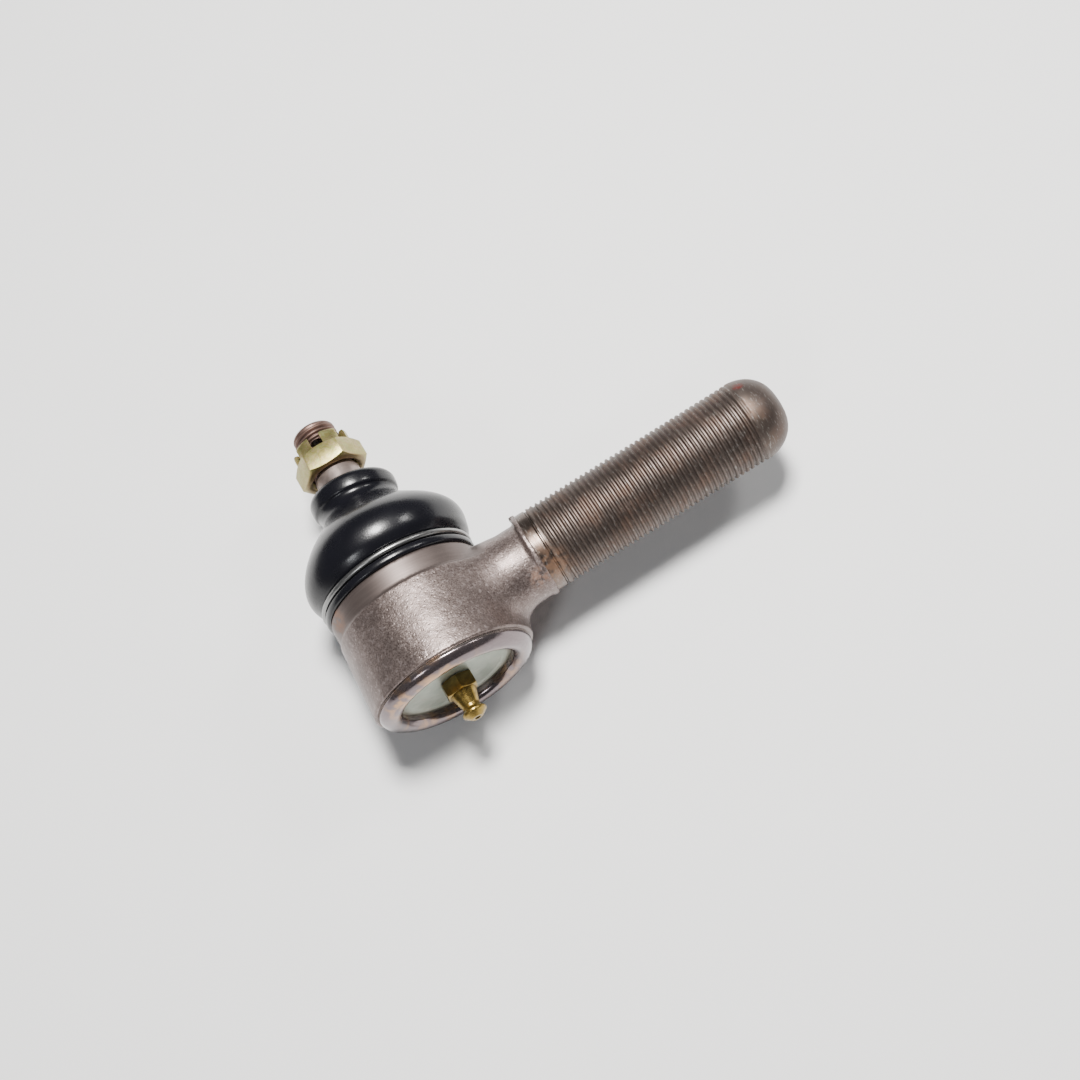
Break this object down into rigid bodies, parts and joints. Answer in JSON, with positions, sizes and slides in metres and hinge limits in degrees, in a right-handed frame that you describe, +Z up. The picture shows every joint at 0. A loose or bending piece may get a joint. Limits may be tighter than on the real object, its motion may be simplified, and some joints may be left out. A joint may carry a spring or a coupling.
{
  "type": "tie rod end",
  "caption": "Greasable tie rod end: forged socket with a threaded male shank, a swinging tapered ball stud, a rubber dust boot and a slotted castle nut.",
  "frame": {"origin": "centre of the ball, where the stud's axis and the shank's axis cross", "axes": "+X along the shank towards its tip, +Y along the stud towards its thread, +Z up when the part lies on its side"},
  "size_m": [0.129, 0.0925, 0.046],
  "materials": {
    "forged_steel": "bare forged steel, grainy, oiled, with a machined thread",
    "stud_steel": "dark hardened steel",
    "yellow_zinc": "yellow passivated zinc plate",
    "boot_rubber": "glossy blue-black rubber",
    "ring_steel": "bright steel",
    "bearing_polymer": "natural acetal, satin",
    "spring_steel": "spring steel",
    "zinc_plate": "grey-green zinc plate",
    "nipple_zinc": "yellow zinc plate"
  },
  "bodies": {
    "housing": {"forged_housing": "forged_steel", "upper_bearing": "bearing_polymer", "disc_spring": "spring_steel", "end_cover": "zinc_plate", "grease_nipple": "nipple_zinc", "nipple_check_spring": "spring_steel"},
    "pressure_seat": {"lower_bearing": "bearing_polymer"},
    "boot_base": {"dust_boot": "boot_rubber", "boot_clamp_ring": "ring_steel"},
    "boot_lip": {"boot_lip_ring": "ring_steel"},
    "stud": {"ball_stud": "stud_steel", "castle_nut": "yellow_zinc"},
    "check_ball": {"nipple_check_ball": "ring_steel"}
  },
  "joints": [
    {"name": "boot_turn", "type": "hinge", "parent": "housing", "child": "boot_base", "pos_m": [0, 0, 0], "axis": [0, 1, 0], "continuous": true},
    {"name": "stud_swing", "type": "hinge", "parent": "boot_base", "child": "boot_lip", "pos_m": [0, 0, 0], "axis": [1, 0, 0], "range_deg": [-22, 22], "deforming": ["dust_boot"]},
    {"name": "stud_spin", "type": "hinge", "parent": "boot_lip", "child": "stud", "pos_m": [0, 0, 0], "axis": [0, 1, 0], "continuous": true},
    {"name": "seat_travel", "type": "slide", "parent": "housing", "child": "pressure_seat", "axis": [0, -1, 0], "range_m": [0, 0.0005], "stiffness_N_per_m": 20000, "springref_m": -0.0005, "deforming": ["disc_spring"]},
    {"name": "check_ball_travel", "type": "slide", "parent": "housing", "child": "check_ball", "axis": [0, 1, 0], "range_m": [0, 0.0006], "stiffness_N_per_m": 300, "springref_m": -0.001, "deforming": ["nipple_check_spring"]}
  ]
}
